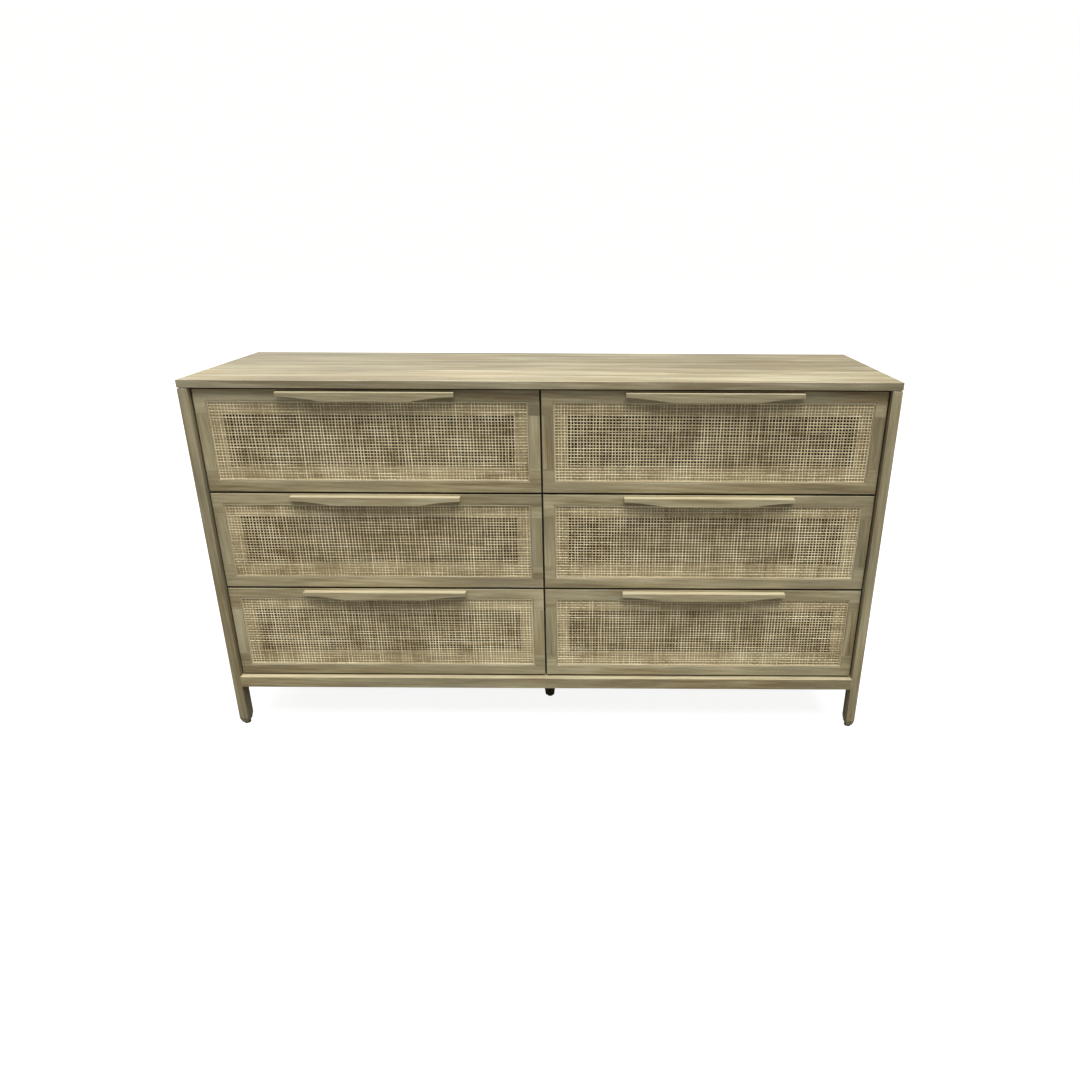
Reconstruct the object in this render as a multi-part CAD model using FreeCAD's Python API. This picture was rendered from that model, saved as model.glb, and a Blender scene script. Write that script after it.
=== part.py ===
import FreeCAD, Part
import os

os.makedirs("parts", exist_ok=True)

# A wide six-drawer dresser on short legs. A thin plank top floats on a shadow gap over two leg-and-panel
# side frames. Six framed drawer fronts with woven cane panels sit a little behind the legs, in two columns
# of three. Each drawer is a box on two telescopic ball runners and is pulled by a shaped wooden bar.
# Millimetres. +X to the right, +Y to the back, +Z up. The origin is on the floor, under the middle of the
# whole object's width and depth, pulls included.

# ---- overall size ----
WIDTH = 1524.0
DEPTH = 457.0               # front of the legs to back of the legs
HEIGHT = 845.0

# ---- case ----
TOP_THICK = 16.4
TOP_EDGE_R = 1.5
SHADOW_GAP = 1.6            # dark line between the top and the side frames
LEG_X = 21.0
LEG_Y = 36.0
CASE_CLEAR = 4.0            # divider and front stretcher behind the drawer fronts
SIDE_REVEAL = 3.0           # side panels set in from the outer faces of the legs
GLIDE_THICK = 6.0
GLIDE_R = 8.0
RAIL_TOP_Z = 138.0
RAIL_HEIGHT = 28.0
RAIL_THICK = 22.0
DIVIDER_THICK = 18.0
BASE_THICK = 12.0
BACK_THICK = 6.0
BACK_INSET = 4.0
STRETCHER_THICK = 18.0
STRETCHER_DEPTH = 70.0
FOOT_TOP = 52.0
FOOT_BOTTOM = 22.0
FOOT_SETBACK = 157.0        # middle of the centre foot, behind the front of the legs

# ---- drawer fronts ----
ROWS = ("bottom", "middle", "top")
FRONT_RECESS = 12.0         # front faces behind the front of the legs
FRONT_THICK = 20.0
SIDE_GAP = 4.0              # front to leg
CENTRE_GAP = 4.4            # between the two columns
ROW_GAP = 4.6               # under each front
HEAD_GAP = 4.1              # top front to the underside of the top
FRAME_BORDER = 24.0         # plain wood outside the rebate
REBATE_WIDTH = 30.0         # lip that the cane and its beads lie on
REBATE_DEPTH = 4.0
CANE_THICK = 2.0
CANE_CLEAR = 0.5            # cane edge to the rebate's wall
BEAD_WIDTH = 3.8
BEAD_THICK = 1.6

# ---- pulls ----
PULL_LENGTH = 376.0
PULL_FLAT = 188.0           # straight stretch of the lower edge
PULL_DEPTH = 16.2
PULL_END = 9.6              # height at the ends
PULL_MIDDLE = 20.3          # height over the straight stretch
PULL_SAG = 2.0              # hollow of the curved lower edge, off its chord
PULL_DROP = 3.1             # under the top edge of the front
PULL_UNDERCUT = 8.0         # finger bevel behind the lower edge

# ---- drawer boxes and runners ----
BOX_THICK = 12.0
BOX_BOTTOM = 6.0
BOX_BOTTOM_RAISE = 10.0
BOX_RAISE = 22.0            # box above the lower edge of its front
BOX_DROP = 42.2             # rim of the box below the upper edge of its front
BOX_BACK_GAP = 15.0
RUNNER_THICK = 12.7
RUNNER_HEIGHT = 45.0
RUNNER_RAISE = 62.0         # runner's middle above the lower edge of the box
RUNNER_SETBACK = 4.0        # at both ends of the box
SHEET = 1.2
BALL_GAP = 1.5              # between nested flanges
WEB_GAP = 1.0               # between nested webs
LIP_CLEAR = 2.0             # flange tips to the drawer's side

# ---- screws of the back panel ----
SCREW_HEAD_R = 4.0
SCREW_HEAD = 2.0
SCREW_R = 1.75
SCREW_BITE = 14.0
SCREW_EDGE = 25.0
SCREWS_PER_ROW = 7
SCREWS_ON_DIVIDER = 3

# ---- planes that follow from the sizes above ----
Y_FRONT = (PULL_DEPTH - FRONT_RECESS - DEPTH) / 2
Y_BACK = Y_FRONT + DEPTH
Y_FACE = Y_FRONT + FRONT_RECESS
Y_BOX = Y_FACE + FRONT_THICK
Y_PANEL = Y_BACK - BACK_INSET - BACK_THICK
Y_BOX_END = Y_PANEL - BOX_BACK_GAP
X_INNER = WIDTH / 2 - LEG_X
Z_TOP = HEIGHT - TOP_THICK
Z_SIDE = Z_TOP - SHADOW_GAP
Z_RAIL = RAIL_TOP_Z - RAIL_HEIGHT
Z_STRETCHER = Z_TOP - STRETCHER_THICK
FRONT_HEIGHT = (Z_TOP - HEAD_GAP - RAIL_TOP_Z) / len(ROWS) - ROW_GAP
BOX_HEIGHT = FRONT_HEIGHT - BOX_RAISE - BOX_DROP
Y_CASE = Y_BOX + CASE_CLEAR
SIDES = (("left", -1), ("right", 1))


def block(x0, x1, y0, y1, z0, z1):
    """A board between two planes on each axis."""
    return Part.makeBox(abs(x1 - x0), y1 - y0, z1 - z0, FreeCAD.Vector(min(x0, x1), y0, z0))


def prism(corners, along):
    """A closed outline swept along a vector."""
    return Part.Face(Part.makePolygon(corners + corners[:1])).extrude(along)


def save(name, *solids):
    """One node, as its single solid or as a group of separate solids."""
    shape = solids[0] if len(solids) == 1 else Part.makeCompound(solids)
    shape.exportStep(f"parts/{name}.step")


def top_panel():
    slab = block(-WIDTH / 2, WIDTH / 2, Y_FRONT, Y_BACK, Z_TOP, HEIGHT)
    upper = [e for e in slab.Edges if e.BoundBox.ZMin > HEIGHT - TOP_EDGE_R]
    return slab.makeFillet(TOP_EDGE_R, upper)


def leg(sign, y0):
    return block(sign * X_INNER, sign * WIDTH / 2, y0, y0 + LEG_Y, GLIDE_THICK, Z_SIDE)


def side_panel(sign):
    outer = WIDTH / 2 - SIDE_REVEAL
    return block(sign * X_INNER, sign * outer, Y_FRONT + LEG_Y, Y_BACK - LEG_Y, Z_RAIL, Z_SIDE)


def centre_foot():
    """A square peg that tapers to the floor."""
    rings = []
    middle = Y_FRONT + FOOT_SETBACK
    for half, z in ((FOOT_BOTTOM / 2, GLIDE_THICK), (FOOT_TOP / 2, RAIL_TOP_Z - BASE_THICK)):
        signs = ((-1, -1), (1, -1), (1, 1), (-1, 1))
        ring = [FreeCAD.Vector(x * half, middle + y * half, z) for x, y in signs]
        rings.append(Part.makePolygon(ring + ring[:1]))
    return Part.makeLoft(rings, True)


def glides():
    """Discs under the four legs and the centre foot."""
    spots = [(0, Y_FRONT + FOOT_SETBACK)]
    for _, sign in SIDES:
        spots += [(sign * (WIDTH - LEG_X) / 2, y) for y in (Y_FRONT + LEG_Y / 2, Y_BACK - LEG_Y / 2)]
    return [Part.makeCylinder(GLIDE_R, GLIDE_THICK, FreeCAD.Vector(x, y, 0)) for x, y in spots]


def back_screw(x, z):
    """A pan-headed screw through the back panel, pointing forward."""
    inward = FreeCAD.Vector(0, -1, 0)
    seat = Y_PANEL + BACK_THICK
    head = Part.makeCylinder(SCREW_HEAD_R, SCREW_HEAD, FreeCAD.Vector(x, seat + SCREW_HEAD, z), inward)
    shank = Part.makeCylinder(SCREW_R, BACK_THICK + SCREW_BITE, FreeCAD.Vector(x, seat, z), inward)
    return head.fuse(shank)


def back_screws():
    """A row in the back rail, a row in the back stretcher and a column in the divider."""
    reach = X_INNER - SCREW_EDGE
    low = Z_RAIL + RAIL_HEIGHT / 2
    high = Z_TOP - STRETCHER_THICK / 2
    screws = []
    for i in range(SCREWS_PER_ROW):
        x = reach * (2 * i / (SCREWS_PER_ROW - 1) - 1)
        screws += [back_screw(x, low), back_screw(x, high)]
    for i in range(1, SCREWS_ON_DIVIDER + 1):
        screws.append(back_screw(0, low + (high - low) * i / (SCREWS_ON_DIVIDER + 1)))
    return screws


def front_frame(x0, x1, z0, z1):
    """Two full-length rails and two stiles between them, rebated around the cane."""
    board = FRAME_BORDER + REBATE_WIDTH
    rebate = block(x0 + FRAME_BORDER, x1 - FRAME_BORDER, Y_FACE, Y_FACE + REBATE_DEPTH,
                   z0 + FRAME_BORDER, z1 - FRAME_BORDER)
    boards = [
        block(x0, x1, Y_FACE, Y_BOX, z1 - board, z1),
        block(x0, x1, Y_FACE, Y_BOX, z0, z0 + board),
        block(x0, x0 + board, Y_FACE, Y_BOX, z0 + board, z1 - board),
        block(x1 - board, x1, Y_FACE, Y_BOX, z0 + board, z1 - board),
    ]
    return [b.cut(rebate) for b in boards]


def cane_panel(x0, x1, z0, z1):
    inset = FRAME_BORDER + CANE_CLEAR
    back = Y_FACE + REBATE_DEPTH
    return block(x0 + inset, x1 - inset, back - CANE_THICK, back, z0 + inset, z1 - inset)


def cane_beads(x0, x1, z0, z1):
    """Four thin strips that hold the cane's edges in the rebate."""
    x0, x1, z0, z1 = x0 + FRAME_BORDER, x1 - FRAME_BORDER, z0 + FRAME_BORDER, z1 - FRAME_BORDER
    y1 = Y_FACE + REBATE_DEPTH - CANE_THICK
    y0 = y1 - BEAD_THICK
    return [
        block(x0, x1, y0, y1, z1 - BEAD_WIDTH, z1),
        block(x0, x1, y0, y1, z0, z0 + BEAD_WIDTH),
        block(x0, x0 + BEAD_WIDTH, y0, y1, z0 + BEAD_WIDTH, z1 - BEAD_WIDTH),
        block(x1 - BEAD_WIDTH, x1, y0, y1, z0 + BEAD_WIDTH, z1 - BEAD_WIDTH),
    ]


def pull(x_mid, z_top):
    """A bar, straight on top, whose lower edge sweeps up to thin ends, bevelled behind for the fingers."""
    def spot(x, drop):
        return FreeCAD.Vector(x_mid + x, Y_FACE - PULL_DEPTH, z_top - drop)

    end, flat = PULL_LENGTH / 2, PULL_FLAT / 2
    bend = (end + flat) / 2
    hollow = (PULL_END + PULL_MIDDLE) / 2 - PULL_SAG
    outline = Part.Wire([
        Part.LineSegment(spot(-end, 0), spot(end, 0)).toShape(),
        Part.LineSegment(spot(end, 0), spot(end, PULL_END)).toShape(),
        Part.Arc(spot(end, PULL_END), spot(bend, hollow), spot(flat, PULL_MIDDLE)).toShape(),
        Part.LineSegment(spot(flat, PULL_MIDDLE), spot(-flat, PULL_MIDDLE)).toShape(),
        Part.Arc(spot(-flat, PULL_MIDDLE), spot(-bend, hollow), spot(-end, PULL_END)).toShape(),
        Part.LineSegment(spot(-end, PULL_END), spot(-end, 0)).toShape(),
    ])
    bar = Part.Face(outline).extrude(FreeCAD.Vector(0, PULL_DEPTH, 0))
    low = z_top - PULL_MIDDLE
    wedge = ((0, 0), (0, PULL_UNDERCUT), (PULL_UNDERCUT, 0))
    bevel = [FreeCAD.Vector(x_mid - end, Y_FACE - out, low + up) for out, up in wedge]
    return bar.cut(prism(bevel, FreeCAD.Vector(PULL_LENGTH, 0, 0)))


def drawer_box(x0, x1, z0):
    """Two sides, and between them a back, a bottom and the inner front that the frame is screwed to."""
    z1 = z0 + BOX_HEIGHT
    left, right = x0 + BOX_THICK, x1 - BOX_THICK
    bottom = z0 + BOX_BOTTOM_RAISE
    return [
        block(x0, left, Y_BOX, Y_BOX_END, z0, z1),
        block(right, x1, Y_BOX, Y_BOX_END, z0, z1),
        block(left, right, Y_BOX, Y_BOX + BOX_THICK, z0, z1),
        block(left, right, Y_BOX_END - BOX_THICK, Y_BOX_END, z0, z1),
        block(left, right, Y_BOX + BOX_THICK, Y_BOX_END - BOX_THICK, bottom, bottom + BOX_BOTTOM),
    ]


def channel(wall_x, inward, z_mid, web, tip, half):
    """A runner member: a web at one distance from the case wall and flanges that reach to another."""
    inside = web + SHEET if tip > web else web - SHEET
    section = ((web, half), (tip, half), (tip, half - SHEET), (inside, half - SHEET),
               (inside, SHEET - half), (tip, SHEET - half), (tip, -half), (web, -half))
    y0 = Y_BOX + RUNNER_SETBACK
    corners = [FreeCAD.Vector(wall_x + inward * t, y0, z_mid + h) for t, h in section]
    return prism(corners, FreeCAD.Vector(0, Y_BOX_END - RUNNER_SETBACK - y0, 0))


def runner(wall_x, inward, z_mid):
    """The case member, the middle member and the drawer member, nested."""
    half = RUNNER_HEIGHT / 2
    step = SHEET + BALL_GAP
    tip = RUNNER_THICK - LIP_CLEAR
    web = SHEET + WEB_GAP
    return (channel(wall_x, inward, z_mid, 0, tip, half),
            channel(wall_x, inward, z_mid, web, tip, half - step),
            channel(wall_x, inward, z_mid, RUNNER_THICK, 2 * web, half - 2 * step))


def drawer(name, sign, row):
    """Writes one drawer's nodes and returns its case members."""
    near, far = CENTRE_GAP / 2, X_INNER - SIDE_GAP
    x0, x1 = sorted((sign * near, sign * far))
    z0 = RAIL_TOP_Z + ROW_GAP + row * (FRONT_HEIGHT + ROW_GAP)
    z1 = z0 + FRONT_HEIGHT
    save(f"{name}_front_frame", *front_frame(x0, x1, z0, z1))
    save(f"{name}_cane_panel", cane_panel(x0, x1, z0, z1))
    save(f"{name}_cane_beads", *cane_beads(x0, x1, z0, z1))
    save(f"{name}_pull", pull((x0 + x1) / 2, z1 - PULL_DROP))

    walls = ((sign * DIVIDER_THICK / 2, sign), (sign * X_INNER, -sign))
    box_x = sorted(wall + inward * RUNNER_THICK for wall, inward in walls)
    save(f"{name}_box", *drawer_box(*box_x, z0 + BOX_RAISE))
    pairs = [runner(wall, inward, z0 + BOX_RAISE + RUNNER_RAISE) for wall, inward in walls]
    case, middle, inner = zip(*pairs)
    save(f"{name}_runner_middle", *middle)
    save(f"{name}_runner_inner", *inner)
    return list(case)


save("top_panel", top_panel())
for side, sign in SIDES:
    save(f"front_{side}_leg", leg(sign, Y_FRONT))
    save(f"back_{side}_leg", leg(sign, Y_BACK - LEG_Y))
    save(f"{side}_side_panel", side_panel(sign))
save("front_rail", block(-X_INNER, X_INNER, Y_FRONT, Y_FRONT + RAIL_THICK, Z_RAIL, RAIL_TOP_Z))
save("back_rail", block(-X_INNER, X_INNER, Y_PANEL - RAIL_THICK, Y_PANEL, Z_RAIL, RAIL_TOP_Z))
save("base_panel", block(-X_INNER, X_INNER, Y_FRONT + RAIL_THICK, Y_PANEL - RAIL_THICK,
                         RAIL_TOP_Z - BASE_THICK, RAIL_TOP_Z))
save("top_front_stretcher", block(-X_INNER, X_INNER, Y_CASE, Y_CASE + STRETCHER_DEPTH, Z_STRETCHER, Z_TOP))
save("top_back_stretcher", block(-X_INNER, X_INNER, Y_PANEL - STRETCHER_DEPTH, Y_PANEL, Z_STRETCHER, Z_TOP))
save("centre_divider", block(-DIVIDER_THICK / 2, DIVIDER_THICK / 2, Y_CASE, Y_PANEL, RAIL_TOP_Z, Z_STRETCHER))
save("back_panel", block(-X_INNER, X_INNER, Y_PANEL, Y_PANEL + BACK_THICK, Z_RAIL, Z_TOP))
save("centre_foot", centre_foot())
save("foot_glides", *glides())
save("back_screws", *back_screws())

case_members = []
for side, sign in SIDES:
    for row, level in enumerate(ROWS):
        case_members += drawer(f"{level}_{side}", sign, row)
save("cabinet_runners", *case_members)
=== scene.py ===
import bpy
import bmesh
import math
import random
import numpy as np
from mathutils import Matrix, Vector


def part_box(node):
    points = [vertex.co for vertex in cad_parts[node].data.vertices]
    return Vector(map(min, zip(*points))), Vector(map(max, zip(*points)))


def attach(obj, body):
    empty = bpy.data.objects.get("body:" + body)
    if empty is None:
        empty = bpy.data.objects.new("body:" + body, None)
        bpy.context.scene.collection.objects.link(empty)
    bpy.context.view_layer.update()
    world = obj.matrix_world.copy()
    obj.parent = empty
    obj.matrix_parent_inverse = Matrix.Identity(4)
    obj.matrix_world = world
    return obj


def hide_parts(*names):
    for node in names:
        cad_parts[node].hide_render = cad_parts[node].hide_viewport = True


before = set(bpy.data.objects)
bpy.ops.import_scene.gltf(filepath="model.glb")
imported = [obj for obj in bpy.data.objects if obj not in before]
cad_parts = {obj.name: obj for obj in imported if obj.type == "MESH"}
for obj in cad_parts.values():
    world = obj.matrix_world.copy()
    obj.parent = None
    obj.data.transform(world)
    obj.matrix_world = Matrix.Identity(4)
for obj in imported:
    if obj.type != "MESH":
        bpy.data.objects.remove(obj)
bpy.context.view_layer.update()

# ---------------------------------------------------------------------------------------------------------
# The studio: a wide pale floor and a white surround, lit by one broad soft lamp high in front and a weak one
# behind. Floor and sky count for little where they only bounce, so that hollows stay as dark as in a shop.
FLOOR_SIZE = 40.0
BOUNCE = 0.20
SKY_LIGHT = 0.30
floor_bm = bmesh.new()
bmesh.ops.create_grid(floor_bm, x_segments=2, y_segments=2, size=FLOOR_SIZE / 2)
floor_mesh = bpy.data.meshes.new("floor")
floor_bm.to_mesh(floor_mesh)
floor_bm.free()
floor = bpy.data.objects.new("floor", floor_mesh)
bpy.context.scene.collection.objects.link(floor)


def seen_or_bounced(tree, shader, inputs, seen, bounced):
    """One shader with two strengths: as it is seen, and as it lights other things."""
    mix = tree.nodes.new("ShaderNodeMix")
    mix.data_type = "RGBA"
    mix.inputs[6].default_value = (bounced, bounced, bounced, 1)
    mix.inputs[7].default_value = (seen, seen, seen * 0.995, 1)
    tree.links.new(tree.nodes.new("ShaderNodeLightPath").outputs["Is Camera Ray"], mix.inputs[0])
    tree.links.new(mix.outputs[2], tree.nodes[shader].inputs[inputs])


floor_paint = bpy.data.materials.new("pale floor")
floor_paint.use_nodes = True
floor_paint.node_tree.nodes["Principled BSDF"].inputs["Roughness"].default_value = 0.9
seen_or_bounced(floor_paint.node_tree, "Principled BSDF", "Base Color", 0.25, BOUNCE)
seen_or_bounced(floor_paint.node_tree, "Principled BSDF", "Emission Color", 0.9, 0.0)
floor_paint.node_tree.nodes["Principled BSDF"].inputs["Emission Strength"].default_value = 1.0
floor_mesh.materials.append(floor_paint)
surround = bpy.data.worlds.new("white surround")
surround.use_nodes = True
seen_or_bounced(surround.node_tree, "Background", "Color", 1.0, SKY_LIGHT)
bpy.context.scene.world = surround

for name, energy, angle, source in (("soft lamp", 4.5, 48, (0.12, -0.34, 1.0)),
                                    ("back lamp", 0.8, 40, (-0.35, 0.8, 0.8))):
    lamp_light = bpy.data.lights.new(name, "SUN")
    lamp_light.energy = energy
    lamp_light.angle = math.radians(angle)
    lamp = bpy.data.objects.new(name, lamp_light)
    lamp.rotation_euler = Vector(source).to_track_quat("Z", "Y").to_euler()
    bpy.context.scene.collection.objects.link(lamp)

VIEW_PLACE = (0.1187, -1.9608, 1.1191)
VIEW_DOWN = math.radians(22.872)
VIEW_LEFT = math.radians(0.111)
VIEW_ROLL = math.radians(0.229)
camera_data = bpy.data.cameras.new("camera")
camera_data.sensor_width = 36.0
camera_data.lens = 27.24
camera_data.shift_x = -0.0499
camera_data.shift_y = 0.0404
camera = bpy.data.objects.new("camera", camera_data)
turn = (Matrix.Rotation(VIEW_LEFT, 4, "Z") @ Matrix.Rotation(math.pi / 2 - VIEW_DOWN, 4, "X")
        @ Matrix.Rotation(VIEW_ROLL, 4, "Z"))
camera.matrix_world = Matrix.Translation(VIEW_PLACE) @ turn
bpy.context.scene.collection.objects.link(camera)
bpy.context.scene.camera = camera
bpy.context.scene.view_settings.view_transform = "Standard"

# ---------------------------------------------------------------------------------------------------------
# Posts, rails and side panels: solid limed hardwood, planed square, with the sharp edges eased by hand and
# a grey-beige wash that lies in the grain. The posts run from the gap under the top to narrowed feet.
EASE = 0.0011
POST_TIP = 0.014
POST_TIP_IN = Vector((0.003, 0.006))
SIDE_PLANKS = 5
WASH_CREAM = (0.58, 0.51, 0.33)
CASE_TONES = ((0.0, (0.195, 0.143, 0.068)), (0.33, (0.295, 0.237, 0.125)), (0.62, (0.378, 0.32, 0.182)),
              (1.0, (0.49, 0.425, 0.265)))
TOUCH = 1e-6        # corners nearer than this to a plane lie in it
chance = random.Random(7)


class Finish:
    """A shader built up from nodes; an input is either a number or another node's output."""

    def __init__(self, name):
        self.material = bpy.data.materials.new(name)
        self.material.use_nodes = True
        self.nodes = self.material.node_tree.nodes
        self.surface = self.nodes["Principled BSDF"]

    def put(self, socket, value):
        if isinstance(value, bpy.types.NodeSocket):
            self.material.node_tree.links.new(value, socket)
        else:
            socket.default_value = value

    def set(self, **inputs):
        for name, value in inputs.items():
            self.put(self.surface.inputs[name.replace("_", " ")], value)

    def add(self, kind, inputs, give=0, **settings):
        node = self.nodes.new("ShaderNode" + kind)
        for name, value in settings.items():
            setattr(node, name, value)
        for name, value in inputs.items():
            self.put(node.inputs[name], value)
        return node.outputs[give]

    def noise(self, where, scale, detail=2.0, rough=0.5, twist=0.0):
        return self.add("TexNoise", {"Vector": where, "Scale": scale, "Detail": detail, "Roughness": rough,
                                     "Distortion": twist})

    def span(self, value, low, high, to_low=0.0, to_high=1.0):
        return self.add("MapRange", {"Value": value, "From Min": low, "From Max": high, "To Min": to_low,
                                     "To Max": to_high})

    def sum(self, *parts):
        """Adds value times weight, for pairs of the two."""
        total = 0.0
        for value, weight in parts:
            total = self.add("Math", {0: value, 1: weight, 2: total}, operation="MULTIPLY_ADD")
        return total

    def ramp(self, value, stops):
        out = self.add("ValToRGB", {"Fac": value})
        band = out.node.color_ramp
        while len(band.elements) < len(stops):
            band.elements.new(0.5)
        for element, (place, colour) in zip(band.elements, stops):
            element.position = place
            element.color = (*colour, 1)
        return out

    def blend(self, amount, under, over, mode="MIX"):
        over = (*over, 1) if isinstance(over, tuple) else over
        return self.add("Mix", {0: amount, 6: under, 7: over}, give=2, data_type="RGBA", blend_type=mode)

    def raise_by(self, height, depth, strength=1.0):
        self.set(Normal=self.add("Bump", {"Height": height, "Distance": depth, "Strength": strength}))


def limed_wood(name, grain, tones, grey=0.55, rough=0.55):
    """Open-grained hardwood with a pale wash, its grain along one axis of the object (0, 1 or 2)."""
    f = Finish(name)
    place = f.add("TexCoord", {}, give="Object")
    board = f.add("Attribute", {}, give="Fac", attribute_name="board")
    tone = f.add("Attribute", {}, give="Fac", attribute_name="tone")
    edge = f.add("Attribute", {}, give="Fac", attribute_name="edge")
    own = f.add("VectorMath", {0: board, 1: (31.7, 17.3, 23.9), 2: place}, operation="MULTIPLY_ADD")

    def along(stretch):
        scale = [1.0, 1.0, 1.0]
        scale[grain] = stretch
        return f.add("Mapping", {"Vector": own, "Scale": scale})

    figure = f.noise(along(0.09), 26, 4, 0.55, 0.5)
    bands = f.add("TexWave", {"Vector": along(0.045), "Scale": 62, "Distortion": 7, "Detail": 2,
                              "Detail Scale": 0.16}, give="Fac", bands_direction="DIAGONAL")
    fibre = f.noise(along(0.03), 520, 3, 0.6)
    streak = f.noise(along(0.05), 150, 3, 0.55)
    pores = f.span(f.noise(along(0.09), 1500, 1), 0.62, 0.72)
    patch = f.noise(along(0.35), 9.5, 3, 0.6)
    mixed = f.sum((figure, 0.63), (bands, 0.04), (streak, 0.24), (fibre, 0.17))
    colour = f.ramp(f.span(mixed, 0.41, 0.655), tones)
    colour = f.blend(f.span(patch, 0.42, 0.64, 0.0, grey), colour, (0.232, 0.214, 0.142))
    brown = f.span(f.noise(along(0.25), 15, 2), 0.54, 0.70, 0.0, 0.45)
    colour = f.blend(brown, colour, (0.27, 0.195, 0.092))
    colour = f.blend(f.sum((pores, 0.3)), colour, (0.14, 0.105, 0.06))
    colour = f.blend(f.sum((f.span(fibre, 0.55, 0.8), 0.2)), colour, WASH_CREAM)
    # The cream follows the edge attribute: real wear on the eased arrises, and a painted highlight on upper
    # faces.
    edge_wear_and_top_highlight = f.add("Math", {0: edge, 1: f.span(streak, 0.3, 0.6, 0.15, 0.6)}, operation="MULTIPLY")
    colour = f.blend(edge_wear_and_top_highlight, colour, WASH_CREAM)
    light = f.add("Math", {0: tone, 1: 1.0}, operation="ADD")
    f.set(Base_Color=f.add("HueSaturation", {"Value": light, "Color": colour}))
    f.set(Roughness=f.span(streak, 0.3, 0.7, rough - 0.06, rough + 0.12))
    f.surface.inputs["Specular IOR Level"].default_value = 0.32
    f.raise_by(f.sum((fibre, 0.5), (streak, 0.4), (pores, -0.9)), 0.00035, 0.6)
    return f.material


def block(lo, hi):
    """A plain block between two corners."""
    bm = bmesh.new()
    size = Matrix.Diagonal((*(hi - lo), 1))
    bmesh.ops.create_cube(bm, size=1.0, matrix=Matrix.Translation((lo + hi) / 2) @ size)
    return bm


def slice_at(bm, axis, places):
    """Cuts new edges round a shape where it crosses planes square to one axis."""
    normal = Vector([float(axis == k) for k in range(3)])
    for place in places:
        everything = bm.verts[:] + bm.edges[:] + bm.faces[:]
        bmesh.ops.bisect_plane(bm, geom=everything, dist=1e-7, plane_co=normal * place, plane_no=normal)


def ease_edges(bm, ease, glued=(), steep=0.5):
    """Rounds the outward edges and marks them, since the wash is rubbed thin there. Edges that lie in a
    glued plane, given as (axis, place), stay sharp."""
    layer = bm.faces.layers.float.new("edge")
    sharp = []
    for e in bm.edges:
        if len(e.link_faces) == 2 and e.is_convex and e.calc_face_angle() > steep:
            if not any(all(abs(v.co[axis] - place) < TOUCH for v in e.verts) for axis, place in glued):
                sharp.append(e)
    rounded = bmesh.ops.bevel(bm, geom=sharp, offset=ease, segments=2, profile=0.5, affect="EDGES",
                              material=-1)["faces"]
    for face in rounded:
        face[layer] = 1.0


def paint_top_highlight(bm, lightening=0.5):
    """Lightens the upper faces through the edge attribute: a painted highlight where light falls on them."""
    layer = bm.faces.layers.float["edge"]
    for face in bm.faces:
        if face.normal.z > 0.9:
            face[layer] = lightening


def mark(bm, name, value):
    """Gives every face one value of an attribute that the finishes read."""
    layer = bm.faces.layers.float.get(name) or bm.faces.layers.float.new(name)
    for face in bm.faces:
        face[layer] = value


def grained(bm, tone=0.0, finish=0):
    """Gives a board its own stretch of grain, its tone and which of the piece's finishes it takes."""
    mark(bm, "board", chance.random())
    mark(bm, "tone", tone + chance.uniform(-0.04, 0.04))
    for face in bm.faces:
        face.material_index = finish
    return bm


def sawn(lo, hi, ease=EASE, tone=0.0, finish=0, glued=()):
    """A board between two corners with its edges eased."""
    bm = block(lo, hi)
    ease_edges(bm, ease, glued)
    return grained(bm, tone, finish)


def planked(lo, hi, axis, tones, ease=EASE):
    """A glued-up panel: equal planks side by side along one axis, each with a tone of its own."""
    bm = block(lo, hi)
    step = (hi[axis] - lo[axis]) / len(tones)
    slice_at(bm, axis, [lo[axis] + step * i for i in range(1, len(tones))])
    ease_edges(bm, ease)
    board = bm.faces.layers.float.new("board")
    tone = bm.faces.layers.float.new("tone")
    seeds = [chance.random() for _ in tones]
    for face in bm.faces:
        i = int(min(max((face.calc_center_median()[axis] - lo[axis]) / step, 0), len(tones) - 1))
        face[board] = seeds[i]
        face[tone] = tones[i]
    return bm


def assemble(name, parts, finishes, body, slot, *nodes):
    """Joins meshes into one piece that stands for CAD nodes and moves with their body."""
    whole = bmesh.new()
    for part in parts:
        loose = bpy.data.meshes.new("loose")
        part.to_mesh(loose)
        part.free()
        whole.from_mesh(loose)
        bpy.data.meshes.remove(loose)
    mesh = bpy.data.meshes.new(name)
    whole.to_mesh(mesh)
    whole.free()
    for finish in finishes:
        mesh.materials.append(finish)
    piece = bpy.data.objects.new(name, mesh)
    bpy.context.scene.collection.objects.link(piece)
    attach(piece, body)
    if nodes:
        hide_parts(*nodes)
    return piece


wood_x = limed_wood("limed wood, grain across", 0, CASE_TONES)
wood_z = limed_wood("limed wood, grain upright", 2, CASE_TONES)
for post in ("front_left_leg", "front_right_leg", "back_left_leg", "back_right_leg"):
    lo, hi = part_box(post)
    shape = block(lo, hi)
    slice_at(shape, 2, [lo.z + POST_TIP])
    middle = (lo + hi) / 2
    for v in shape.verts:
        if v.co.z < lo.z + TOUCH:
            v.co.x -= math.copysign(POST_TIP_IN.x, v.co.x - middle.x)
            v.co.y -= math.copysign(POST_TIP_IN.y, v.co.y - middle.y)
    ease_edges(shape, EASE)
    # The left posts take a darker tone than the right ones: painted shade on the left side of the case.
    grained(shape, tone=-0.14 if "left" in post else -0.05)
    assemble(post + "_post", [shape], [wood_z], "case", "case_wood", post)
for panel in ("left_side_panel", "right_side_panel"):
    tones = [chance.uniform(-0.07, 0.07) for _ in range(SIDE_PLANKS)]
    shape = planked(*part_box(panel), 1, tones)
    assemble(panel + "_boards", [shape], [wood_z], "case", "case_wood", panel)
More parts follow.
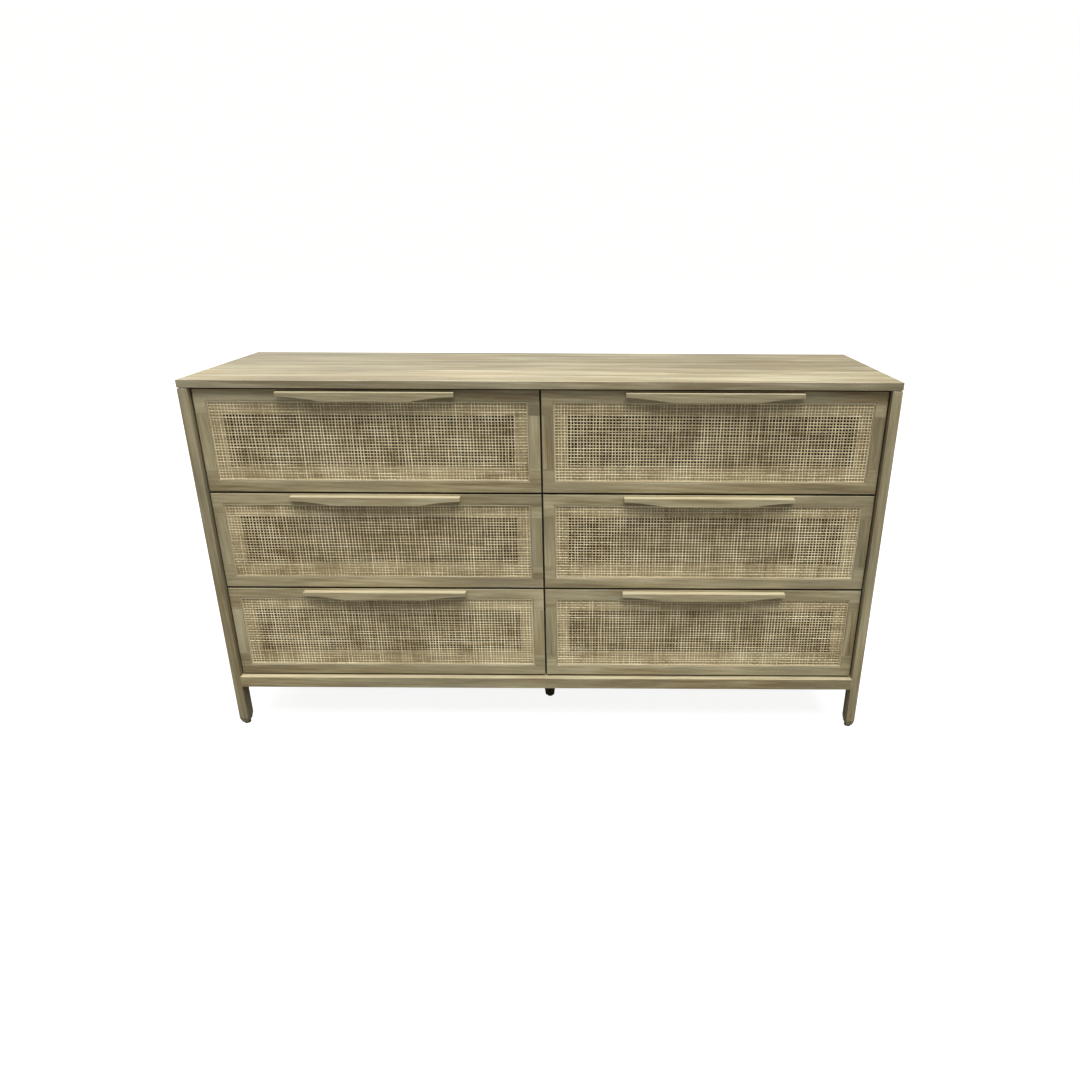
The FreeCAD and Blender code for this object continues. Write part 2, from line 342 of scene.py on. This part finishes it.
for rail in ("front_rail", "back_rail"):
    shape = sawn(*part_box(rail), tone=0.03)
    # Its top face is lightened as a painted highlight.
    paint_top_highlight(shape, lightening=1.1)
    assemble(rail + "_board", [shape], [wood_x], "case", "case_wood", rail)

# ---------------------------------------------------------------------------------------------------------
# The top: six solid planks glued edge to edge, planed thin and washed paler than the case. The front planks
# are the creamiest and the back ones greyer and browner. Its arrises are softly rounded all round.
TOP_EASE = 0.0008
TOP_PLANK_TONES = (0.22, 0.22, 0.02, -0.08, -0.10, -0.13)
TOP_RIM_TONE = 0.05
TOP_TONES = ((0.0, (0.197, 0.155, 0.087)), (0.4, (0.276, 0.231, 0.14)), (0.65, (0.338, 0.292, 0.183)),
             (1.0, (0.437, 0.39, 0.256)))
top_wood = limed_wood("paler limed wood of the top", 0, TOP_TONES, grey=0.35, rough=0.5)
slab = planked(*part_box("top_panel"), 1, TOP_PLANK_TONES, TOP_EASE)
tone = slab.faces.layers.float["tone"]
for face in slab.faces:
    if abs(face.normal.z) < 0.1:
        face[tone] = TOP_RIM_TONE
assemble("top_boards", [slab], [top_wood], "case", "top_wood", "top_panel")

# ---------------------------------------------------------------------------------------------------------
# The inside of the case: plain veneered boards, screwed and glued, which nobody sees until a drawer is out.
INNER_EASE = 0.0006
# These tones are darker than the wood's own: painted shade inside the case.
INNER_TONES_IN_PAINTED_SHADE = ((0.0, (0.10, 0.076, 0.044)), (0.5, (0.145, 0.115, 0.07)), (1.0, (0.19, 0.157, 0.10)))
inner_x = limed_wood("inner board, grain across", 0, INNER_TONES_IN_PAINTED_SHADE, grey=0.2, rough=0.6)
inner_z = limed_wood("inner board, grain upright", 2, INNER_TONES_IN_PAINTED_SHADE, grey=0.2, rough=0.6)
for node_name in ("base_panel", "top_front_stretcher", "top_back_stretcher"):
    shape = sawn(*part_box(node_name), ease=INNER_EASE)
    assemble(node_name + "_board", [shape], [inner_x], "case", "inner_board", node_name)
assemble("centre_divider_board", [sawn(*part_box("centre_divider"), ease=INNER_EASE)], [inner_z], "case",
         "inner_board", "centre_divider")

# ---------------------------------------------------------------------------------------------------------
# The back: one sheet of thin plywood with an upright face veneer, held by pan-headed cross-slot screws
# along the rail, the stretcher and the divider.
BACK_EASE = 0.0005
HEAD_RADIUS = 0.004
HEAD_HEIGHT = 0.002
SCREWS_PER_ROW = 7
SCREWS_ON_DIVIDER = 3
BACK_TONES = ((0.0, (0.27, 0.20, 0.115)), (0.5, (0.36, 0.285, 0.175)), (1.0, (0.45, 0.375, 0.245)))
back_veneer = limed_wood("plywood veneer of the back", 2, BACK_TONES, grey=0.15, rough=0.65)
sheet = sawn(*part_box("back_panel"), ease=BACK_EASE)
assemble("back_panel_sheet", [sheet], [back_veneer], "case", "back_board", "back_panel")


def zinc_plate(name, tint, rough):
    """Zinc-plated steel: a soft grey spangle with faint drawing marks."""
    f = Finish(name)
    place = f.add("TexCoord", {}, give="Object")
    drawn = f.noise(f.add("Mapping", {"Vector": place, "Scale": (1.0, 0.03, 1.0)}), 2600, 3)
    spangle = f.noise(place, 160, 3, 0.6)
    colour = f.ramp(f.span(spangle, 0.3, 0.7), ((0.0, tuple(0.82 * c for c in tint)), (1.0, tint)))
    f.set(Base_Color=colour, Roughness=f.span(drawn, 0.25, 0.75, rough - 0.08, rough + 0.1))
    f.surface.inputs["Metallic"].default_value = 1.0
    f.raise_by(drawn, 0.00008, 0.5)
    return f.material


def pan_head(x, y, z):
    """A pan head with a cross recess, from a cone whose cap is inset, drawn in to a cross and sunk."""
    bm = bmesh.new()
    stand = Matrix.Translation((x, y - HEAD_HEIGHT / 2, z)) @ Matrix.Rotation(-math.pi / 2, 4, "X")
    bmesh.ops.create_cone(bm, cap_ends=True, segments=24, radius1=HEAD_RADIUS, radius2=HEAD_RADIUS * 0.85,
                          depth=HEAD_HEIGHT, matrix=stand)
    cap = max((f for f in bm.faces if len(f.verts) > 4), key=lambda f: f.calc_center_median().y)
    bmesh.ops.inset_individual(bm, faces=[cap], thickness=HEAD_RADIUS * 0.25)
    for v in cap.verts:
        arm = Vector((v.co.x - x, v.co.z - z))
        arm *= 0.3 + 0.7 * abs(math.cos(2 * math.atan2(arm.y, arm.x))) ** 3
        v.co.x, v.co.z = x + arm.x, z + arm.y
    sunk = bmesh.ops.extrude_face_region(bm, geom=[cap])["geom"]
    bottom = [g for g in sunk if isinstance(g, bmesh.types.BMVert)]
    bmesh.ops.translate(bm, vec=(0, -HEAD_HEIGHT * 0.6, 0), verts=bottom)
    bmesh.ops.scale(bm, vec=(0.6, 1, 0.6), space=Matrix.Translation((-x, 0, -z)), verts=bottom)
    return bm


first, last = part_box("back_screws")
first += Vector((HEAD_RADIUS, 0, HEAD_RADIUS))
last -= Vector((HEAD_RADIUS, 0, HEAD_RADIUS))
heads = []
for i in range(SCREWS_PER_ROW):
    x = first.x + (last.x - first.x) * i / (SCREWS_PER_ROW - 1)
    heads += [pan_head(x, last.y, first.z), pan_head(x, last.y, last.z)]
for i in range(1, SCREWS_ON_DIVIDER + 1):
    heads.append(pan_head(0, last.y, first.z + (last.z - first.z) * i / (SCREWS_ON_DIVIDER + 1)))
screw_zinc = zinc_plate("zinc of the screws", (0.62, 0.60, 0.55), 0.38)
assemble("back_screw_heads", heads, [screw_zinc], "case", "screw_steel", "back_screws")

# ---------------------------------------------------------------------------------------------------------
# The centre foot and the glides: a tapered peg under the base's middle, near-black as painted shade, and a
# black plastic disc nailed under it and under each post, which keeps the wood off the floor.
PEG_TAPER = 0.423
FOOT_TONES_PAINTED_SHADE = ((0.0, (0.055, 0.04, 0.025)), (0.5, (0.085, 0.062, 0.038)), (1.0, (0.13, 0.10, 0.062)))
lo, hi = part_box("centre_foot")
peg = block(lo, hi)
tip = [v for v in peg.verts if v.co.z < (lo.z + hi.z) / 2]
centre = (lo + hi) / 2
bmesh.ops.scale(peg, vec=(PEG_TAPER, PEG_TAPER, 1), space=Matrix.Translation(-centre), verts=tip)
ease_edges(peg, EASE)
assemble("centre_foot_peg", [grained(peg)], [limed_wood("dark stain of the foot", 2, FOOT_TONES_PAINTED_SHADE, grey=0.0)],
         "case", "foot_wood", "centre_foot")


def moulded_plastic(name, colour, rough):
    """Injection-moulded plastic with a fine spark-eroded grain."""
    f = Finish(name)
    place = f.add("TexCoord", {}, give="Object")
    grain = f.noise(place, 2600, 2)
    lightening = f.noise(place, 130, 3, 0.6)
    shade = f.ramp(f.span(lightening, 0.35, 0.75), ((0.0, colour), (1.0, tuple(1.9 * c for c in colour))))
    f.set(Base_Color=shade, Roughness=f.span(lightening, 0.3, 0.7, rough - 0.1, rough + 0.1))
    f.raise_by(grain, 0.00006, 0.6)
    return f.material


GLIDE_RADIUS = 0.008
GLIDE_EASE = 0.0009
glides = []
for node_name in ("front_left_leg", "front_right_leg", "back_left_leg", "back_right_leg", "centre_foot"):
    lo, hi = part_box(node_name)
    disc = bmesh.new()
    stand = Matrix.Translation(((lo.x + hi.x) / 2, (lo.y + hi.y) / 2, lo.z / 2))
    bmesh.ops.create_cone(disc, cap_ends=True, segments=32, radius1=GLIDE_RADIUS, radius2=GLIDE_RADIUS,
                          depth=lo.z, matrix=stand)
    ease_edges(disc, GLIDE_EASE, steep=1.0)
    glides.append(disc)
assemble("glide_discs", glides, [moulded_plastic("black plastic of the glides", (0.012, 0.012, 0.012), 0.5)],
         "case", "glide_plastic", "foot_glides")

# ---------------------------------------------------------------------------------------------------------
# The drawer frames: for each front two long rails with two stiles glued between them, flush and sanded, and
# a rebate routed round the opening in which the cane and its beads lie.
DRAWERS = [f"{level}_{side}" for level in ("bottom", "middle", "top") for side in ("left", "right")]
LIP = 0.030
FRAME_EASE = 0.0008
# Tone of the fronts' outer rims: painted shade for the gaps between the fronts.
GAP_SHADE_TONE = -0.7
front_x = limed_wood("front wood, grain across", 0, CASE_TONES)
front_z = limed_wood("front wood, grain upright", 2, CASE_TONES)


def rout(bm, lo, hi, board_lo, board_hi):
    """Takes a box out of a board's surface and lines the hollow."""
    middle = (lo + hi) / 2
    half = (hi - lo) / 2
    for axis in range(3):
        slice_at(bm, axis, (lo[axis], hi[axis]))
    taken = [f for f in bm.faces
             if all(abs((f.calc_center_median() - middle)[k]) < half[k] + TOUCH for k in range(3))]
    bmesh.ops.delete(bm, geom=taken, context="FACES")
    size = Matrix.Diagonal((*(hi - lo), 1))
    lining = bmesh.ops.create_cube(bm, size=1.0, matrix=Matrix.Translation(middle) @ size)["verts"]
    walls = list({f for v in lining for f in v.link_faces})
    bmesh.ops.reverse_faces(bm, faces=walls)
    outside = []
    for face in walls:
        at = face.calc_center_median()
        if any(min(at[k] - board_lo[k], board_hi[k] - at[k]) < TOUCH for k in range(3)):
            outside.append(face)
    bmesh.ops.delete(bm, geom=outside, context="FACES")
    bmesh.ops.remove_doubles(bm, verts=bm.verts, dist=2e-6)
    bmesh.ops.dissolve_limit(bm, angle_limit=0.01, verts=bm.verts, edges=bm.edges)


def paint_gap_shade_on_rims(bm, lo, hi):
    """Gives the outer rims of a front a dark tone: painted shade for the gaps between the fronts."""
    layer = bm.faces.layers.float["tone"]
    for face in bm.faces:
        at = face.calc_center_median()
        if abs(face.normal.y) < 0.3 and min(at.x - lo.x, hi.x - at.x, at.z - lo.z, hi.z - at.z) < 2e-4:
            face[layer] = GAP_SHADE_TONE


for drawer in DRAWERS:
    lo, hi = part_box(drawer + "_front_frame")
    hole_lo, hole_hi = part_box(drawer + "_cane_beads")
    hole_lo.y, hole_hi.y = lo.y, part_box(drawer + "_cane_panel")[1].y
    border = hole_lo.x - lo.x
    board = border + LIP
    joints = ((2, lo.z + board), (2, hi.z - board))
    ends = (((lo.x, hi.x, lo.z, lo.z + board), 0), ((lo.x, hi.x, hi.z - board, hi.z), 0),
            ((lo.x, lo.x + board, lo.z + board, hi.z - board), 1),
            ((hi.x - board, hi.x, lo.z + board, hi.z - board), 1))
    boards = []
    for (x0, x1, z0, z1), finish in ends:
        corner_lo, corner_hi = Vector((x0, lo.y, z0)), Vector((x1, hi.y, z1))
        shape = block(corner_lo, corner_hi)
        cut_lo = Vector([max(a, b) for a, b in zip(corner_lo, hole_lo)])
        cut_hi = Vector([min(a, b) for a, b in zip(corner_hi, hole_hi)])
        rout(shape, cut_lo, cut_hi, corner_lo, corner_hi)
        ease_edges(shape, FRAME_EASE, glued=joints)
        grained(shape, tone=0.0 if finish == 0 else 0.03, finish=finish)
        paint_gap_shade_on_rims(shape, lo, hi)
        boards.append(shape)
    assemble(drawer + "_frame_boards", boards, [front_x, front_z], drawer + "_drawer", "front_wood",
             drawer + "_front_frame")

# ---------------------------------------------------------------------------------------------------------
# The beads: four thin half-round strips pinned into the rebate over the edges of the cane, a hair narrower
# than their seat, so that a dark line shows on each side.
BEAD_SLACK = 0.0007
BEAD_WIDTH = 0.0038
BEAD_ROUND = 0.0012
BEAD_TONES = ((0.0, (0.38, 0.31, 0.18)), (0.5, (0.51, 0.435, 0.27)), (1.0, (0.64, 0.57, 0.38)))
bead_x = limed_wood("bead wood, grain across", 0, BEAD_TONES, grey=0.15)
bead_z = limed_wood("bead wood, grain upright", 2, BEAD_TONES, grey=0.15)
for drawer in DRAWERS:
    lo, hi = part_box(drawer + "_cane_beads")
    lo += Vector((BEAD_SLACK, 0, BEAD_SLACK))
    hi -= Vector((BEAD_SLACK, 0, BEAD_SLACK))
    wide = BEAD_WIDTH - 2 * BEAD_SLACK
    gap = wide + BEAD_SLACK
    strips = (((lo.x, hi.x, lo.z, lo.z + wide), 0), ((lo.x, hi.x, hi.z - wide, hi.z), 0),
              ((lo.x, lo.x + wide, lo.z + gap, hi.z - gap), 1),
              ((hi.x - wide, hi.x, lo.z + gap, hi.z - gap), 1))
    beads = []
    for (x0, x1, z0, z1), finish in strips:
        strip = block(Vector((x0, lo.y, z0)), Vector((x1, hi.y, z1)))
        nose = [e for e in strip.edges if all(v.co.y < lo.y + TOUCH for v in e.verts)]
        bmesh.ops.bevel(strip, geom=nose, offset=BEAD_ROUND, segments=3, profile=0.5, affect="EDGES",
                        material=-1)
        mark(strip, "edge", 0.4)
        beads.append(grained(strip, finish=finish))
    assemble(drawer + "_bead_strips", beads, [bead_x, bead_z], drawer + "_drawer", "bead_wood",
             drawer + "_cane_beads")

# ---------------------------------------------------------------------------------------------------------
# The cane: split rattan woven plain, one over and one under, and pulled tight across the opening. The
# strands differ in colour from straw to brown and wander a little, as hand-split cane does.
WARP_PITCH = 0.00687
WEFT_PITCH = 0.0066
STRAND_WIDE = 0.0023
STRAND_THICK = 0.0009
WEAVE_DEPTH = 0.00052
CANE_TONES = ((0.0, (0.20, 0.13, 0.05)), (0.25, (0.40, 0.30, 0.15)), (0.5, (0.63, 0.51, 0.29)),
              (0.75, (0.82, 0.70, 0.425)), (1.0, (0.98, 0.88, 0.60)))


def split_cane(name, grain):
    """The shiny skin of split rattan, streaked along the strand and browned in patches."""
    f = Finish(name)
    place = f.add("TexCoord", {}, give="Object")
    tone = f.add("Attribute", {}, give="Fac", attribute_name="tone")
    seed = f.add("Attribute", {}, give="Fac", attribute_name="board")
    own = f.add("VectorMath", {0: seed, 1: (3.7, 9.3, 5.9), 2: place}, operation="MULTIPLY_ADD")
    scale = [1.0, 1.0, 1.0]
    scale[grain] = 0.10
    run = f.add("Mapping", {"Vector": own, "Scale": scale})
    streak = f.noise(run, 900, 2, 0.6)
    patch = f.noise(place, 16, 3, 0.6)
    length = f.noise(run, 150, 2, 0.5)
    mixed = f.sum((tone, 1.0), (streak, 0.25), (patch, 0.6), (length, 0.75))
    colour = f.ramp(f.span(mixed, 0.46, 1.06), CANE_TONES)
    f.set(Base_Color=colour, Roughness=f.span(streak, 0.3, 0.7, 0.34, 0.5))
    f.surface.inputs["Specular IOR Level"].default_value = 0.45
    f.raise_by(streak, 0.00012, 0.5)
    return f.material


def strand_stock(segments):
    """A straight six-sided strand, one unit long and wide, with a ring of points at every segment."""
    bm = bmesh.new()
    bmesh.ops.create_cone(bm, cap_ends=True, segments=6, radius1=1.0, radius2=1.0, depth=1.0)
    long_edges = [e for e in bm.edges if abs(e.verts[0].co.z - e.verts[1].co.z) > 0.5]
    bmesh.ops.subdivide_edges(bm, edges=long_edges, cuts=segments - 1, use_grid_fill=False)
    for layer in ("tone", "board"):
        bm.faces.layers.float.new(layer)
    for face in bm.faces:
        face.smooth = len(face.verts) == 4
    mesh = bpy.data.meshes.new("strand stock")
    bm.to_mesh(mesh)
    bm.free()
    points = np.empty(len(mesh.vertices) * 3, np.float32)
    mesh.vertices.foreach_get("co", points)
    return mesh, points.reshape(-1, 3)


def wander(rng, along, reach):
    """A slow sideways drift along a strand."""
    a, b = rng.uniform(0.5, 1.6, 2)
    p, q = rng.uniform(0, 2 * math.pi, 2)
    return reach * (np.sin(a * 2 * math.pi * along + p) * 0.6 + np.sin(b * 5 * math.pi * along + q) * 0.4)


def cluster_tones(rng, count):
    """Tones for a row of strands: neighbours often come from the same cane."""
    return rng.normal(0, 0.035, count) + np.repeat(rng.normal(0, 0.03, count), 3)[:count]


def lay_strands(bm, rng, lo, hi, along, across, count, crossings, finish):
    """Weaves the strands that run along one axis; the other set's pitch gives the wave."""
    stock, points = strand_stock(2 * crossings)
    length = hi[along] - lo[along]
    pitch = (hi[across] - lo[across]) / count
    middle = (lo.y + hi.y) / 2
    t = points[:, 2] + 0.5
    for i, tone in enumerate(cluster_tones(rng, count)):
        wide = STRAND_WIDE / 2 * rng.uniform(0.88, 1.12)
        side = -1 if (i + finish) % 2 else 1
        co = np.empty_like(points)
        co[:, along] = lo[along] + length * t
        centre = lo[across] + pitch * (i + 0.5) + rng.uniform(-0.0004, 0.0004)
        bend = wander(rng, t, 0.0005)
        co[:, across] = centre + bend + wide * points[:, 0] * (1 + wander(rng, t, 0.07))
        wave = side * WEAVE_DEPTH * np.sin(math.pi * crossings * t)
        co[:, 1] = middle + wave + STRAND_THICK / 2 * points[:, 1]
        stock.vertices.foreach_set("co", co.ravel())
        stock.attributes["tone"].data.foreach_set("value", np.full(len(stock.polygons), tone, np.float32))
        seed = rng.random()
        stock.attributes["board"].data.foreach_set("value", np.full(len(stock.polygons), seed, np.float32))
        stock.polygons.foreach_set("material_index", np.full(len(stock.polygons), finish, np.int32))
        bm.from_mesh(stock)
    bpy.data.meshes.remove(stock)


cane_warp = split_cane("cane, upright strands", 2)
cane_weft = split_cane("cane, cross strands", 0)
for k, drawer in enumerate(DRAWERS):
    rng = np.random.default_rng(40 + k)
    lo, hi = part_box(drawer + "_cane_panel")
    warps = round((hi.x - lo.x) / WARP_PITCH)
    wefts = round((hi.z - lo.z) / WEFT_PITCH)
    weave = bmesh.new()
    lay_strands(weave, rng, lo, hi, 2, 0, warps, wefts, 0)
    lay_strands(weave, rng, lo, hi, 0, 2, wefts, warps, 1)
    assemble(drawer + "_woven_cane", [weave], [cane_warp, cane_weft], drawer + "_drawer", "cane",
             drawer + "_cane_panel")

# ---------------------------------------------------------------------------------------------------------
# The pulls: long bars shaped from one strip, straight on top, whose lower edge sweeps up from a straight
# middle to thin ends. The back is bevelled for the fingers, and screws from inside hold the bar.
PULL_FLAT = 0.188
PULL_END = 0.0096
PULL_MIDDLE = 0.0203
PULL_UNDERCUT = 0.008
PULL_CURVE_STEPS = 9
PULL_EASE = 0.0011
PULL_SCREW_OUT = 0.064
PULL_TONES = ((0.0, (0.25, 0.198, 0.105)), (0.36, (0.34, 0.287, 0.165)), (0.65, (0.415, 0.36, 0.215)),
              (1.0, (0.52, 0.465, 0.295)))
pull_wood = limed_wood("pull wood", 0, PULL_TONES, grey=0.35, rough=0.5)


def pull_height(x, end):
    """How tall the bar is at a distance from its middle: full, then an S from the flat to the thin end."""
    s = min(max((end - x) / (end - PULL_FLAT / 2), 0.0), 1.0)
    return PULL_END + (PULL_MIDDLE - PULL_END) * (0.3 * s + 0.7 * s ** 2)


for drawer in DRAWERS:
    lo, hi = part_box(drawer + "_pull")
    bar = block(lo, hi)
    x_mid, end = (lo.x + hi.x) / 2, (hi.x - lo.x) / 2
    cuts = [PULL_FLAT / 2 + (end - PULL_FLAT / 2) * i / PULL_CURVE_STEPS for i in range(PULL_CURVE_STEPS)]
    slice_at(bar, 0, [x_mid + side * cut for side in (-1, 1) for cut in cuts])
    for v in bar.verts:
        if v.co.z < lo.z + TOUCH:
            v.co.z = hi.z - pull_height(abs(v.co.x - x_mid), end)
    everything = bar.verts[:] + bar.edges[:] + bar.faces[:]
    bmesh.ops.bisect_plane(bar, geom=everything, dist=1e-7, plane_co=(0, hi.y, lo.z + PULL_UNDERCUT),
                           plane_no=(0, 1, -1), clear_outer=True)
    bmesh.ops.holes_fill(bar, edges=bar.edges, sides=0)
    ease_edges(bar, PULL_EASE, steep=0.6)
    # The bar's top face is lightened as a painted highlight.
    paint_top_highlight(bar, lightening=1.5)
    assemble(drawer + "_pull_bar", [grained(bar, tone=0.03)], [pull_wood], drawer + "_drawer", "pull_wood",
             drawer + "_pull")
    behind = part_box(drawer + "_front_frame")[1].y + HEAD_HEIGHT
    heads = [pan_head(x_mid + side * PULL_SCREW_OUT, behind, hi.z - PULL_MIDDLE / 2) for side in (-1, 1)]
    assemble(drawer + "_pull_screws", heads, [screw_zinc], drawer + "_drawer", "screw_steel")

# ---------------------------------------------------------------------------------------------------------
# The drawer boxes: birch plywood, with the plies showing on every upper rim. The inner front's face behind
# the cane is near-black, a painted shade, and the frame is screwed to it from inside.
BOX_THICK = 0.012
BOX_EASE = 0.0009
PLIES = 9
PLY_TONES = ((0.0, (0.46, 0.345, 0.205)), (0.5, (0.55, 0.43, 0.27)), (1.0, (0.64, 0.52, 0.35)))


def plywood(name, grain, through):
    """Birch plywood: veneer along one axis on the faces, plies stacked along another on the rims."""
    f = Finish(name)
    place = f.add("TexCoord", {}, give="Object")
    rim = f.add("Attribute", {}, give="Fac", attribute_name="rim")
    painted_shade = f.add("Attribute", {}, give="Fac", attribute_name="painted_shade")
    scale = [1.0, 1.0, 1.0]
    scale[grain] = 0.05
    run = f.add("Mapping", {"Vector": place, "Scale": scale})
    figure = f.noise(run, 34, 4, 0.55, 0.8)
    fibre = f.noise(run, 620, 3, 0.6)
    veneer = f.ramp(f.span(f.sum((figure, 0.7), (fibre, 0.3)), 0.35, 0.68), PLY_TONES)
    parts = f.add("SeparateXYZ", {"Vector": place}, give=through)
    ply = f.add("Math", {0: parts, 1: 2 * math.pi * PLIES / BOX_THICK / 2}, operation="MULTIPLY")
    stripe = f.add("Math", {0: ply}, operation="SINE")
    dark = f.span(stripe, -0.3, 0.3, 0.0, 1.0)
    edge = f.blend(dark, f.blend(fibre, (0.52, 0.39, 0.235, 1), (0.64, 0.50, 0.32)),
                   f.blend(fibre, (0.30, 0.20, 0.105, 1), (0.40, 0.28, 0.16)))
    colour = f.blend(rim, veneer, edge)
    # Faces marked by the attribute turn near-black: painted shade behind the cane.
    colour = f.blend(painted_shade, colour, f.blend(fibre, (0.004, 0.003, 0.003, 1), (0.016, 0.013, 0.010)))
    f.set(Base_Color=colour, Roughness=f.span(fibre, 0.3, 0.7, 0.46, 0.66))
    f.raise_by(f.sum((fibre, 0.6), (figure, 0.4)), 0.0002, 0.5)
    return f.material


def ply_board(lo, hi, through, finish, glued=()):
    """A plywood board whose plies are stacked along one axis."""
    bm = sawn(lo, hi, ease=BOX_EASE, finish=finish, glued=glued)
    mark(bm, "painted_shade", 0.0)
    rim = bm.faces.layers.float.new("rim")
    for face in bm.faces:
        face[rim] = float(abs(face.normal[through]) < 0.5)
    return bm


ply_side = plywood("plywood of the sides", 1, 0)
ply_end = plywood("plywood of the ends", 0, 1)
ply_floor = plywood("plywood of the bottoms", 0, 2)
BOTTOM_THICK = 0.006
BOTTOM_RAISE = 0.010
FRAME_SCREW_IN = 0.022
FRAME_SCREW_UP = 0.018
for drawer in DRAWERS:
    lo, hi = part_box(drawer + "_box")
    left, right = lo.x + BOX_THICK, hi.x - BOX_THICK
    near, far = lo.y + BOX_THICK, hi.y - BOX_THICK
    inner_front = ply_board(Vector((left, lo.y, lo.z)), Vector((right, near, hi.z)), 1, 1)
    # Its face towards the cane is marked near-black: painted shade seen through the holes.
    painted_shade = inner_front.faces.layers.float["painted_shade"]
    for face in inner_front.faces:
        face[painted_shade] = float(face.normal.y < -0.5)
    low = lo.z + BOTTOM_RAISE
    boards = [
        ply_board(lo, Vector((left, hi.y, hi.z)), 0, 0),
        ply_board(Vector((right, lo.y, lo.z)), hi, 0, 0),
        inner_front,
        ply_board(Vector((left, far, lo.z)), Vector((right, hi.y, hi.z)), 1, 1),
        ply_board(Vector((left, near, low)), Vector((right, far, low + BOTTOM_THICK)), 2, 2),
    ]
    assemble(drawer + "_box_boards", boards, [ply_side, ply_end, ply_floor], drawer + "_drawer",
             "drawer_board", drawer + "_box")
    heads = []
    for x in (left + FRAME_SCREW_IN, right - FRAME_SCREW_IN):
        for z in (low + BOTTOM_THICK + FRAME_SCREW_UP, hi.z - FRAME_SCREW_UP):
            heads.append(pan_head(x, near + HEAD_HEIGHT, z))
    assemble(drawer + "_frame_screws", heads, [screw_zinc], drawer + "_drawer", "screw_steel")

# ---------------------------------------------------------------------------------------------------------
# The runners: three nested channels of zinc-plated steel on each side of a drawer. One is screwed to the
# case, one to the drawer, and the middle one runs between them on balls.
runner_zinc = zinc_plate("zinc of the runners", (0.66, 0.65, 0.62), 0.3)
runner_nodes = ["cabinet_runners"] + [drawer + part for drawer in DRAWERS
                                      for part in ("_runner_inner", "_runner_middle")]
for node_name in runner_nodes:
    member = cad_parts[node_name]
    member.data.materials.clear()
    member.data.materials.append(runner_zinc)
